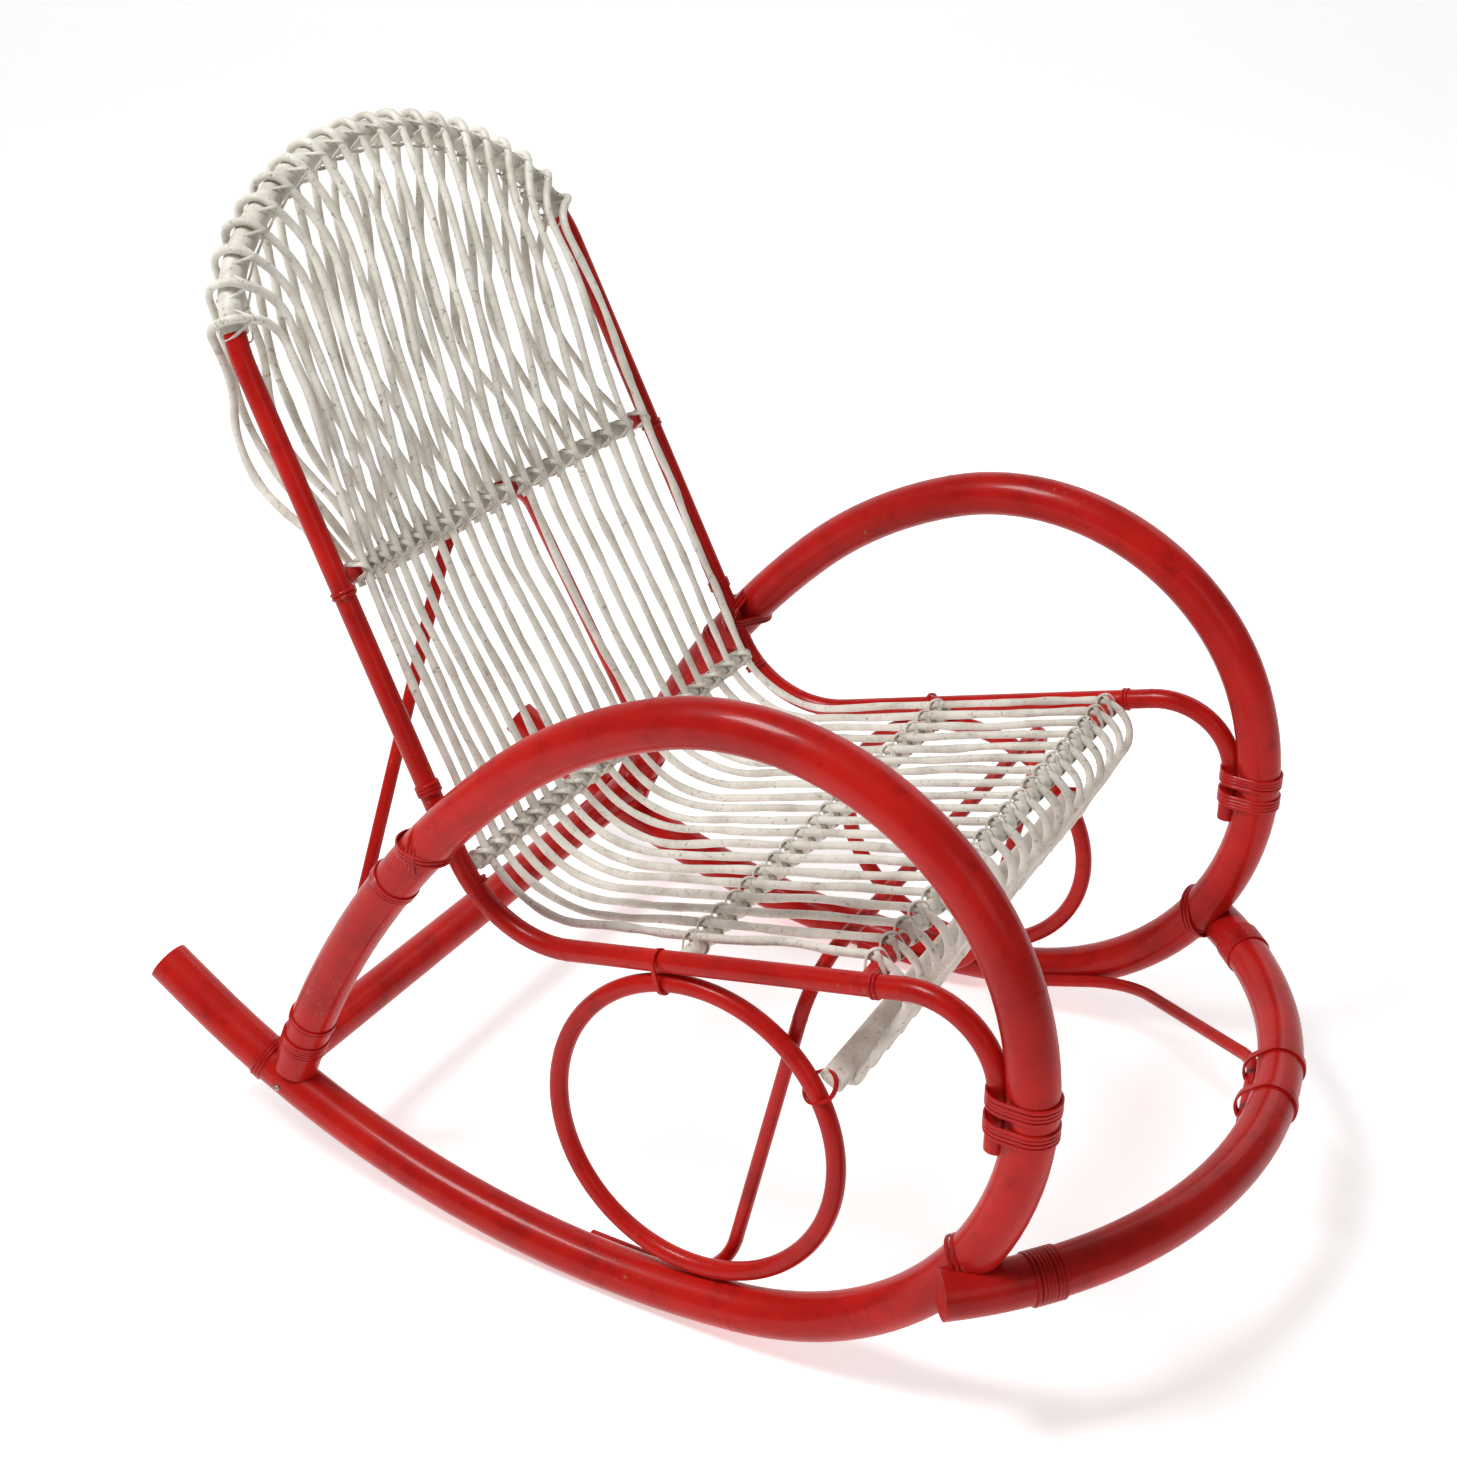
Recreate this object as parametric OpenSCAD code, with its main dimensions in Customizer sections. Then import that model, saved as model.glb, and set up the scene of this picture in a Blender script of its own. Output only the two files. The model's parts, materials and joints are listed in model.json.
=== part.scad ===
// Rattan rocking chair: two bent side loops carry a strand-woven seat and back.
// +X is the way the sitter faces, +Y is the sitter's left, +Z is up, and z = 0 is the floor.
// Every member is a round pole, drawn as straight cylinders joined by tangent arcs.

/* [Side loops] */
// Diameter of the thick poles of the side loops and the front bow
pole_d = 40; // [36:0.5:42]
// Distance between the runners, centre to centre, at the floor
track = 586; // [576:2:600]
// Lean of each side loop towards the middle of the chair, in degrees
loop_lean = 2.4; // [2:0.1:2.6]
// Slope of the runner's straight rear tip below level, in degrees
tail_slope = 32.5; // [31:0.5:34]
// Length of the runner's straight rear tip
tail_length = 46; // [36:1:56]
// Radius of the rocking curve
rocker_radius = 820; // [800:5:840]
// Radius of the loop's bend at the front
front_radius = 280; // [275:1:285]
// Radius of the loop's bend from the front up to the top of the arm
arm_radius = 235; // [230:1:240]
// Radius of the arm's flatter rear shoulder
shoulder_radius = 430; // [420:2:440]
// Radius of the slightly bowed rear leg
leg_radius = 900; // [880:5:920]

/* [Front bow and rear stretcher] */
// Radius of the bow that joins the loops at the front
bow_radius = 405; // [400:1:420]
// Length of the bow that passes each side loop's centre plane
bow_overhang = 30; // [24:1:34]
// Depth of the notches in the bow's ends where they lie against the loops
bow_notch = 10; // [6:1:12]
// Diameter of the rear stretcher
stretcher_d = 36; // [30:0.5:37]

/* [Seat and back frame] */
// Diameter of the seat and back frame pole
frame_d = 18.5; // [17:0.5:20]
// Recline of the back from upright, in degrees
recline = 25.3; // [25:0.1:25.6]
// Rise of the seat towards the front, in degrees
seat_rise = 14; // [13.6:0.1:14.4]
// Length of the back from the seat corner to the top of the arch
back_length = 661; // [640:1:690]
// Level distance from the seat corner to the front drop
seat_depth = 470; // [466:1:472]
// Bend radius between the back and the seat
crook_radius = 100; // [95:1:105]
// Bend radius at the front of the seat
nose_radius = 66; // [60:1:70]
// Half width of the back between the posts' centres
back_half_w = 236; // [232:1:238]
// Radius of the arch's crown
crown_radius = 320; // [310:2:330]
// Radius of the arch's shoulders
arch_corner_radius = 110; // [100:2:118]

/* [Seat strands] */
// Number of strands side by side
strand_count = 20; // [18:1:20]
// Diameter of a strand
strand_d = 7.4; // [6.6:0.2:7.8]
// Diameter of the cross bars under the strands
bar_d = 14; // [13:0.5:15]
// How far the rear layer bulges behind the back
rear_bulge = 60; // [40:2:66]
// How far the front layer bulges ahead of the back
front_bulge = 24; // [16:1:28]

/* [Bracing] */
// Diameter of the oval side rings' pole
ring_d = 16; // [15:0.5:16.5]
// Radius of a side ring, along the pole's centre
ring_radius = 130; // [127:0.5:130]
// Diameter of the back hoop, the seat arch and the bow strut
thin_d = 12; // [11:0.5:13]
// Diameter of the cane used for the lashings
cane_d = 3.4; // [3:0.2:3.6]
// Diameter of the finer cane used for the white lacing
lace_d = 3; // [2.4:0.2:3.4]

/* [Hidden] */
// The side loop's bends, in degrees, in order from the tail
rocker_turn = 41.5;
front_turn = 102;
arm_turn = 88.5;
shoulder_turn = 23;
leg_turn = 27;
// Height of the tail tip's centre over the lowest point of the runner's centre line
tail_rise = 154.5;
// Turn of the whole chair about Y that puts its centre of mass over the contact line
rest_pitch = -0.59;
// Middle of the chair's length, measured from the tail tip
mid_x = 486.9;

// The seat corner, where the lines of the back and of the side rails meet
crook_x = 348;
crook_z = 264;
crook_half_w = 249;
rail_tip_z = 252;

post_gap = 22;
arch_run = 269;
// A knuckle's length and extra diameter, and how far a stretch of pole stops short of its knuckle's middle
knuckle_l = 1.6;
knuckle_rise = 0.3;
short_of = 0.3;
lace_tilt = 35;
wrap_t = 1.4;
strip_t = 2.2;
red = [0.80, 0.12, 0.10];
white = [0.93, 0.91, 0.84];
steel = [0.45, 0.45, 0.47];

function unit(v) = v / norm(v);
function bend_of(a, b, c) = acos(max(-1, min(1, unit(b - a) * unit(c - b))));
// Tangent length at corner i of a path: a radius of 0 takes the widest bend that fits.
function reach(p, r, i) =
    i == 0 || i == len(p) - 1 ? 0
    : r[i] == 0 ? 0.49 * min(norm(p[i] - p[i - 1]), norm(p[i + 1] - p[i]))
    : r[i] * tan(bend_of(p[i - 1], p[i], p[i + 1]) / 2);

module straight(a, b, d) {
    z = unit(b - a);
    x = unit(cross(abs(z[1]) > 0.9 ? [1, 0, 0] : [0, 1, 0], z));
    y = cross(z, x);
    multmatrix([for (k = [0:2]) [x[k], y[k], z[k], a[k]]])
        linear_extrude(norm(b - a)) circle(d = d, $fn = 32);
}

// An arc of pole: it starts at centre + radius * x and turns towards y.
module arc(centre, x, y, radius, angle, d, core = 0) {
    z = cross(x, y);
    steps = max(32, ceil(180 / acos(1 - 0.12 / max(radius, 1))));
    multmatrix([for (k = [0:2]) [x[k], y[k], z[k], centre[k]]])
        rotate_extrude(angle = angle, start = 0, $fn = steps) translate([radius, 0]) difference() {
            circle(d = d, $fn = 32);
            if (core > 0) circle(d = core, $fn = 32);
        }
}

module ring(centre, axis, radius, d) {
    x = unit(cross(abs(axis[1]) > 0.9 ? [1, 0, 0] : [0, 1, 0], axis));
    z = unit(axis);
    y = cross(z, x);
    multmatrix([for (k = [0:2]) [x[k], y[k], z[k], centre[k]]])
        rotate_extrude($fn = 48) translate([radius, 0]) circle(d = d, $fn = 16);
}

// A knuckle: the faint raised band of a cane joint, which also joins two stretches of pole.
module knuckle(p, way, d, l = knuckle_l) {
    half = l / 2 * unit(way);
    straight(p - half, p + half, d + knuckle_rise);
}

// An arc that stops a hair short of both its ends, where knuckles cover the gaps
module arc_stretch(centre, x, y, radius, angle, d) {
    trim = short_of / radius * 180 / PI;
    arc(centre, cos(trim) * x + sin(trim) * y, cos(trim) * y - sin(trim) * x, radius, angle - 2 * trim, d);
}

// A pole along the corner points p, with the bend radius r[i] at corner i
module pole(p, r, d) {
    t = [for (i = [0:len(p) - 1]) reach(p, r, i)];
    last = len(p) - 1;
    for (i = [0:last - 1]) {
        u = unit(p[i + 1] - p[i]);
        a = p[i] + t[i] * u;
        b = p[i + 1] - t[i + 1] * u;
        gap = (b - a) * u;
        long = gap > knuckle_l;
        if (long) straight(a + (i == 0 ? 0 : short_of) * u, b - (i == last - 1 ? 0 : short_of) * u, d);
        if (long && i < last - 1) knuckle(b, u, d);
        if (i > 0) knuckle(long ? a : (a + b) / 2, u, d, knuckle_l + (long ? 0 : max(0, gap)));
    }
    for (i = [1:1:last - 1]) {
        angle = bend_of(p[i - 1], p[i], p[i + 1]);
        u = unit(p[i] - p[i - 1]);
        w = unit(p[i + 1] - p[i]);
        n = unit(w - (w * u) * u);
        radius = t[i] / tan(angle / 2);
        arc_stretch(p[i] - t[i] * u + radius * n, -n, u, radius, angle, d);
    }
}

// A flat pole that starts at [x, z] with a heading and follows [radius, turn] arcs, in the plane y = 0.
function heading_after(h, bends, n) = n == 0 ? h : bends[n - 1][1] + heading_after(h, bends, n - 1);
function normal_of(h) = [-sin(h), cos(h)];
function place_after(p, h, bends, n) =
    n == 0 ? p
    : let (q = place_after(p, h, bends, n - 1), a = heading_after(h, bends, n - 1), r = bends[n - 1][0])
    q + r * normal_of(a) - r * normal_of(a + bends[n - 1][1]);

// The side loop: tail, rocker, front, arm, shoulder and rear leg.
tail_tip = [0, tail_rise];
loop_bends = [
    [rocker_radius, rocker_turn],
    [front_radius, front_turn],
    [arm_radius, arm_turn],
    [shoulder_radius, shoulder_turn],
    [leg_radius, leg_turn]
];
rocker_start = tail_tip + tail_length * [cos(tail_slope), -sin(tail_slope)];
function loop_place(n) = place_after(rocker_start, -tail_slope, loop_bends, n);
function loop_heading(n) = heading_after(-tail_slope, loop_bends, n);
function loop_centre(n) = loop_place(n) + loop_bends[n][0] * normal_of(loop_heading(n));
// The height of a loop's leaning plane is close to z, so its half spacing at height z is:
function loop_y(z) = track / 2 - z * tan(loop_lean);

module loop_arc(n) {
    c = loop_centre(n);
    h = loop_heading(n);
    arc_stretch([c[0], 0, c[1]], [sin(h), 0, -cos(h)], [cos(h), 0, sin(h)], loop_bends[n][0], loop_bends[n][1], pole_d);
}

module leaning(side) {
    translate([0, side * track / 2, 0]) rotate([side * loop_lean, 0, 0]) children();
}

module side_loop(side) {
    tip = [tail_tip[0], 0, tail_tip[1]];
    start = [rocker_start[0], 0, rocker_start[1]];
    leaning(side) {
        straight(tip, start - short_of * unit(start - tip), pole_d);
        for (n = [0:len(loop_bends) - 1]) {
            q = loop_place(n);
            knuckle([q[0], 0, q[1]], loop_way(n, 0), pole_d);
            loop_arc(n);
        }
    }
}

// The front bow lies level against the outside of the loops' front bends.
bow_drop = 31;
bow_touch = loop_centre(1) + (front_radius + pole_d - bow_notch) * [cos(bow_drop), -sin(bow_drop)];
bow_z = bow_touch[1];
bow_half = loop_y(bow_z);
bow_centre_x = bow_touch[0] - sqrt(bow_radius * bow_radius - bow_half * bow_half);
bow_swing = asin((bow_half + bow_overhang) / bow_radius);
function bow_point(a) = [bow_centre_x + bow_radius * cos(a), bow_radius * sin(a), bow_z];

module front_bow() {
    start = [cos(bow_swing), -sin(bow_swing), 0];
    ahead = [sin(bow_swing), cos(bow_swing), 0];
    difference() {
        arc([bow_centre_x, 0, bow_z], start, ahead, bow_radius, 2 * bow_swing, pole_d);
        for (side = [-1, 1]) leaning(side) loop_arc(1);
    }
}

// The back's own plane: y across, s up the slope from the seat corner, n forwards from it.
slope_up = [-sin(recline), 0, cos(recline)];
slope_out = [cos(recline), 0, sin(recline)];
crook = [crook_x, 0, crook_z];
function on_back(y, s, n) = crook + [0, y, 0] + s * slope_up + n * slope_out;

// The arch: a crown arc and two tighter corners.
crown_half = asin((back_half_w - arch_corner_radius) / (crown_radius - arch_corner_radius));
crown_run = crown_radius * crown_half * PI / 180;
corner_s = back_length - crown_radius + (crown_radius - arch_corner_radius) * cos(crown_half);
function arch_angle(run) =
    run < crown_run ? run / crown_radius * 180 / PI
    : crown_half + (run - crown_run) / arch_corner_radius * 180 / PI;
// [y, s] and outward direction [y, s] at a distance along the arch from its top
function arch_out(run) = [sign(run) * sin(arch_angle(abs(run))), cos(arch_angle(abs(run)))];
function arch_place(run) =
    abs(run) < crown_run ? [0, back_length - crown_radius] + crown_radius * arch_out(run)
    : [sign(run) * (back_half_w - arch_corner_radius), corner_s] + arch_corner_radius * arch_out(run);

nose_z = crook_z + seat_depth * tan(seat_rise);
rail_tip_x = crook_x + seat_depth;
crown_corner_y = crown_radius * tan(crown_half / 2);
side_corner_s = corner_s + arch_corner_radius * tan((90 - crown_half) / 2);

function half_frame(side) = [
    [rail_tip_x, side * loop_y(rail_tip_z), rail_tip_z],
    [rail_tip_x, side * loop_y(nose_z - nose_radius), nose_z],
    [crook_x, side * crook_half_w, crook_z],
    on_back(side * back_half_w, side_corner_s, 0),
    on_back(side * crown_corner_y, back_length, 0)
];
function reversed(v) = [for (i = [len(v) - 1:-1:0]) v[i]];
half_bends = [0, nose_radius, crook_radius, arch_corner_radius, crown_radius];

module frame_pole(d) {
    pole(concat(half_frame(-1), reversed(half_frame(1))), concat(half_bends, reversed(half_bends)), d);
}

// Cross bars, each as [x, z]; the lumbar bar sits a little way into the bend.
back_bar_s = 330;
lumbar_turn = 8;
mid_bar_run = 195;
front_bar_run = 365;
seat_along = [cos(seat_rise), sin(seat_rise)];
seat_up = [-sin(seat_rise), cos(seat_rise)];
crook_reach = crook_radius * tan((90 + seat_rise - recline) / 2);
crook_centre = [crook_x, crook_z] + crook_reach * seat_along + crook_radius * seat_up;
back_bar = [on_back(0, back_bar_s, 0)[0], on_back(0, back_bar_s, 0)[2]];
lumbar_bar = crook_centre + crook_radius * [-cos(recline + lumbar_turn), -sin(recline + lumbar_turn)];
mid_bar = [crook_x, crook_z] + mid_bar_run * seat_along;
front_bar = [crook_x, crook_z] + front_bar_run * seat_along;
function post_half(s) = crook_half_w + (back_half_w - crook_half_w) * s / side_corner_s;
rail_end_half = loop_y(nose_z - nose_radius);
function rail_half(run) = crook_half_w + (rail_end_half - crook_half_w) * run * cos(seat_rise) / seat_depth;
back_half = post_half(back_bar_s);
lumbar_half = post_half(crook_reach);
mid_half = rail_half(mid_bar_run);
front_half = rail_half(front_bar_run);

// The side rings lean with their tops against the rails and their feet on the runners.
ring_x = 555;
ring_z = 163.5;
ring_top_y = 262;
ring_foot_y = 287;
ring_up = unit([0, ring_top_y - ring_foot_y, 2 * ring_radius]);
ring_mid_y = (ring_top_y + ring_foot_y) / 2;
apron_w = 22;
apron_t = 10;
apron_tilt = 32;
apron_rise = 35;
apron_reach = ring_radius + 14.2;
apron_at = [ring_x + apron_reach * cos(apron_rise), ring_z + apron_reach * sin(apron_rise)];
apron_edge = apron_at + (apron_w - apron_t) / 2 * [cos(apron_tilt), -sin(apron_tilt)];
apron_half = 262;

module side_ring_pole(side) {
    y = [ring_up[0], side * ring_up[1], ring_up[2]];
    ring([ring_x, side * ring_mid_y, ring_z], cross([1, 0, 0], y), ring_radius, ring_d);
}

module cross_bar(at, half, d) {
    straight([at[0], -half, at[1]], [at[0], half, at[1]], d);
}

// A cross bar whose ends are hollowed to sit against the posts or the rails, which run along "way"
module coped_bar(at, half, way) {
    run = 2 * bar_d * way;
    difference() {
        cross_bar(at, half, bar_d);
        for (side = [-1, 1])
            straight([at[0] - run[0], side * half, at[1] - run[1]], [at[0] + run[0], side * half, at[1] + run[1]],
                frame_d + knuckle_rise);
    }
}

// The flat slat under the front of the seat, which takes the strands' lower ends
module apron_slat() {
    translate([apron_at[0], 0, apron_at[1]]) rotate([90, apron_tilt, 0])
        linear_extrude(2 * apron_half, center = true) racetrack(apron_w, apron_t);
}

// One strand, from the back bar up behind the back, over the arch and down to the apron.
wrap_r = frame_d / 2 + wrap_t + strand_d / 2;
over_bar = (bar_d + strand_d) / 2;
strand_corner = over_bar / cos((90 + seat_rise - recline) / 2);
nose_run = 54;
nose_bend = 30;
strand_crook = [crook_x, crook_z]
    + strand_corner * unit([cos(recline) - sin(seat_rise), sin(recline) + cos(seat_rise)]);
front_corner = front_bar + over_bar * seat_up + nose_run * seat_along;
// The strands come down tangent to the apron slat's front edge and turn in under it.
apron_wrap = (apron_t + strand_d) / 2;
nose_gap = apron_edge - front_corner;
nose_angle = atan2(nose_gap[1], nose_gap[0]) + asin(apron_wrap / norm(nose_gap));
apron_line = [cos(nose_angle), sin(nose_angle)];
apron_out = [-apron_line[1], apron_line[0]];
apron_under = apron_edge + apron_wrap * (apron_out + apron_line);
apron_end = apron_under - 16 * apron_out;
function strand_u(i) = (2 * i - (strand_count - 1)) / (strand_count - 1);
// The strands stand closer together at the right end of the back bar, by a crowding that fades out over the seat.
back_crowd = 54;
crook_crowd = 20;
function crowded(u, half, crowd) = u * half - crowd * (1 - u * u);
// A strand's place across the chair: at the back bar, at the crook and at the front corner
function across_back(u) = crowded(u, back_half - post_gap, back_crowd);
function across_crook(u) = crowded(u, lumbar_half - post_gap, crook_crowd);
function across_front(u) = u * (front_half - post_gap);
corner_run = over_bar * tan((90 + seat_rise - recline) / 2);
function between(from, to, run, end) = from + (to - from) * (run - corner_run) / (end - corner_run);
function across_bar(k, u) =
    k == 0 ? across_back(u)
    : k == 1 ? between(across_crook(u), across_back(u), crook_reach - lumbar_turn * crook_radius * PI / 180, back_bar_s)
    : between(across_crook(u), across_front(u), k == 2 ? mid_bar_run : front_bar_run, front_bar_run + nose_run);

module strand_pole(i) {
    u = strand_u(i);
    run = u * arch_run;
    out = arch_out(run);
    top = arch_place(run);
    y_back = across_back(u);
    y_apron = u * (apron_half - post_gap);
    inward = 18 + 27 * out[1];
    rim = top + wrap_r * out;
    fall = top - inward * out;
    drape = top - [8 * out[0], 30 + 20 * out[1]];
    y_mid = (fall[0] + y_back) / 2;
    y_drape = (drape[0] + y_back) / 2;
    s_mid = 0.55 * fall[1] + 0.45 * back_bar_s;
    p = [
        on_back(y_back, back_bar_s - over_bar - 4, -over_bar),
        on_back(y_back, back_bar_s, -over_bar),
        on_back(y_drape, s_mid, -rear_bulge),
        on_back(drape[0], drape[1], -rear_bulge * 0.6),
        on_back(rim[0], rim[1], -wrap_r),
        on_back(rim[0], rim[1], wrap_r),
        on_back(fall[0], fall[1], wrap_r + 6),
        on_back(y_mid, s_mid, front_bulge),
        on_back(y_back, back_bar_s, over_bar),
        [strand_crook[0], across_crook(u), strand_crook[1]],
        [front_corner[0], across_front(u), front_corner[1]],
        [apron_under[0], y_apron, apron_under[1]],
        [apron_end[0], y_apron, apron_end[1]]
    ];
    r = [0, 0, 0, 0, wrap_r, wrap_r, 0, 0, 0, crook_radius - over_bar, nose_bend, apron_wrap, 0];
    pole(p, r, strand_d);
}

// White cane crossed over each strand where it passes bar k
module lacing(k) {
    r = (bar_d + strand_d + lace_d) / 2;
    out = [bar_out[k][0], 0, bar_out[k][1]];
    ahead = cross(out, [0, 1, 0]);
    for (i = [0:strand_count - 1], side = [-1, 1]) {
        centre = [bar_at[k][0], across_bar(k, strand_u(i)), bar_at[k][1]] + strand_d / 2 * out;
        axis = cos(lace_tilt) * [0, 1, 0] + side * sin(lace_tilt) * ahead;
        ring(centre, axis, r + (side + 1) / 2 * lace_d, lace_d);
    }
}

module sleeve_arc(centre_y, centre_s, radius, from, to) {
    trim = short_of / radius * 180 / PI;
    start = from + trim;
    x = cos(start) * slope_up + sin(start) * [0, 1, 0];
    y = cos(start) * [0, 1, 0] - sin(start) * slope_up;
    arc(on_back(centre_y, centre_s, 0), x, y, radius, to - from - 2 * trim, frame_d + 2 * wrap_t, frame_d);
}

module arch_sleeve() {
    sleeve_end = arch_angle(arch_run + 8);
    shoulder_y = back_half_w - arch_corner_radius;
    sleeve_arc(0, back_length - crown_radius, crown_radius, -crown_half, crown_half);
    sleeve_arc(shoulder_y, corner_s, arch_corner_radius, crown_half, sleeve_end);
    sleeve_arc(-shoulder_y, corner_s, arch_corner_radius, -sleeve_end, -crown_half);
}

// A coil of half-round cane, flat side inwards, on a pole: turns side by side, centred at p
module coil(p, axis, d, turns) {
    z = unit(axis);
    x = unit(cross(abs(z[1]) > 0.9 ? [1, 0, 0] : [0, 1, 0], z));
    y = cross(z, x);
    pitch = cane_d * 1.03;
    multmatrix([for (k = [0:2]) [x[k], y[k], z[k], p[k]]]) for (k = [0:turns - 1])
        translate([0, 0, (k - (turns - 1) / 2) * pitch]) rotate_extrude($fn = 48) translate([d / 2, 0])
            intersection() {
                circle(d = cane_d, $fn = 16);
                translate([0, -cane_d]) square([cane_d, 2 * cane_d]);
            }
}

// A slot shape: two half circles joined by straight sides
module racetrack(length, width) {
    for (k = [-1, 1]) translate([k * (length - width) / 2, 0]) circle(d = width, $fn = 48);
    square([length - width, width], center = true);
}

// A closed loop of flat cane round two neighbouring poles; "across" points from one pole to the other.
module binding(p, axis, across, length, width, turns = 1) {
    z = unit(axis);
    x = unit(across - (across * z) * z);
    y = cross(z, x);
    strip = turns * cane_d;
    round = min(length, width);
    multmatrix([for (k = [0:2]) [x[k], y[k], z[k], p[k]]]) translate([0, 0, -strip / 2])
        linear_extrude(strip) difference() {
            racetrack(length + 2 * strip_t, round + 2 * strip_t);
            racetrack(length, round);
        }
}

function along_loop(n, turn) =
    let (c = loop_centre(n), h = loop_heading(n) + turn, q = c - loop_bends[n][0] * normal_of(h))
    [q[0], loop_y(q[1]), q[1]];
function loop_way(n, turn) = let (h = loop_heading(n) + turn) [cos(h), 0, sin(h)];
function flip(v, side) = [v[0], side * v[1], v[2]];

// The rear leg's foot stands on the runner, and the stretcher meets it just above.
foot = place_after(rocker_start, -tail_slope, loop_bends, 5);
foot_on_rocker = atan2(foot[0] - loop_centre(0)[0], loop_centre(0)[1] - foot[1]) + tail_slope;
stretcher_turn = leg_turn - 1.4;
stretcher_at = along_loop(4, stretcher_turn);

module rear_stretcher() {
    color(red) difference() {
        straight([stretcher_at[0], -stretcher_at[1], stretcher_at[2]], stretcher_at, stretcher_d);
        for (side = [-1, 1]) leaning(side) loop_arc(4);
    }
}

// The back hoop stands behind the back, from the rear legs to the back bar.
hoop_back = (bar_d + thin_d) / 2 + strand_d + 2 * lace_d;
hoop_top = on_back(0, back_bar_s, -hoop_back);
hoop_turn = leg_turn - 6.5;
hoop_foot = along_loop(4, hoop_turn) - [0, (pole_d + thin_d) / 2, 0];
hoop_half = 52;

module back_hoop_pole() {
    top = [hoop_top[0], hoop_half, hoop_top[2]];
    pole([flip(hoop_foot, -1), flip(top, -1), top, hoop_foot], [0, 70, 70, 0], thin_d);
}

// The seat arch lies along the runners and rises to pass under the seat.
arch_foot_x = 447;
arch_foot_y = track / 2 - (pole_d + thin_d) / 2;
arch_knee_x = 578;
arch_top = mid_bar + (front_bar - mid_bar) * 0.66 - 7 * seat_up;

module seat_arch_pole() {
    half = [
        [arch_foot_x, arch_foot_y, 0],
        [arch_knee_x, arch_foot_y, 0],
        [arch_top[0], 246, arch_top[1]]
    ];
    mirrored = [for (q = reversed(half)) flip(q, -1)];
    pole(concat(half, mirrored), [0, 70, 50, 50, 70, 0], thin_d);
}

// The bow strut runs inside the left runner and along the bow's inner side, tied there.
module bow_strut_pole() {
    inside = bow_radius - 20;
    drop = 17;
    first = [bow_centre_x + inside * cos(17), inside * sin(17), bow_z - drop];
    last = [bow_centre_x + inside * cos(3), inside * sin(3), bow_z - drop];
    pole([[598, arch_foot_y, 4], [745, arch_foot_y - 2, 50], first, last], [0, 130, 60, 0], thin_d);
}

// Lashings at the rear joints: on the leg above the stretcher, and on the runner on both sides of the foot
module rear_lashing(side) {
    color(red) {
        coil(flip(along_loop(4, leg_turn - 3), side), loop_way(4, leg_turn - 3), pole_d, 4);
        for (k = [-1, 1]) {
            turn = foot_on_rocker + k * 1.9;
            coil(flip(along_loop(0, turn), side), loop_way(0, turn), pole_d, 2);
        }
    }
}

// Lashings at the bow's ends: a coil on the bow and slanting turns round the bow and the loop
bow_angle = asin(bow_half / bow_radius);
module bow_lashing(side) {
    coil_angle = bow_angle - 6.6;
    loop_dir = loop_way(1, front_heading);
    bow_dir = [-sin(bow_angle), side * cos(bow_angle), 0];
    across = [cos(bow_drop), 0, -sin(bow_drop)];
    touch = flip([bow_touch[0], bow_half, bow_z], side);
    color(red) {
        coil(flip(bow_point(coil_angle), side), [-sin(coil_angle), side * cos(coil_angle), 0], pole_d, 8);
        binding(touch - (pole_d - bow_notch) / 2 * across, loop_dir - bow_dir, across, 2 * pole_d - bow_notch,
            1.22 * pole_d, 3);
    }
}
front_heading = 90 - bow_drop - loop_heading(1);

// Lashings that hold the hanging ends of the side rails against the loops
rail_tie_z = 302;
module rail_lashing(side) {
    outer = loop_centre(1)[0] + front_radius + pole_d / 2;
    inner = rail_tip_x - frame_d / 2;
    color(red) for (z = [rail_tie_z, rail_tie_z - 22])
        binding([(outer + inner) / 2, side * loop_y(z), z], [0, 0, 1], [1, 0, 0], outer - inner, pole_d, 3);
}

// Lashings where the back's posts cross the arms
cross_gap = [crook_x, crook_z] - loop_centre(4);
cross_up = [slope_up[0], slope_up[2]];
cross_half = cross_gap * cross_up;
cross_s = sqrt(cross_half * cross_half - cross_gap * cross_gap + leg_radius * leg_radius) - cross_half;
cross_at = cross_gap + cross_s * cross_up;
cross_turn = atan2(cross_at[1], cross_at[0]) + 90 - loop_heading(4);
module arm_lashing(side) {
    post = on_back(side * post_half(cross_s), cross_s, 0);
    arm = flip(along_loop(4, cross_turn), side);
    away = norm(arm - post) + (pole_d + frame_d) / 2;
    middle = (arm + post) / 2 + (pole_d - frame_d) / 4 * unit(arm - post);
    color(red) {
        binding(middle, slope_up - loop_way(4, cross_turn), arm - post, away, 1.22 * pole_d, 3);
        coil(on_back(side * post_half(cross_s + 40), cross_s + 40, 0), slope_up, frame_d, 2);
        coil(flip(along_loop(4, cross_turn + 3.3), side), loop_way(4, cross_turn + 3.3), pole_d, 4);
    }
}

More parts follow.
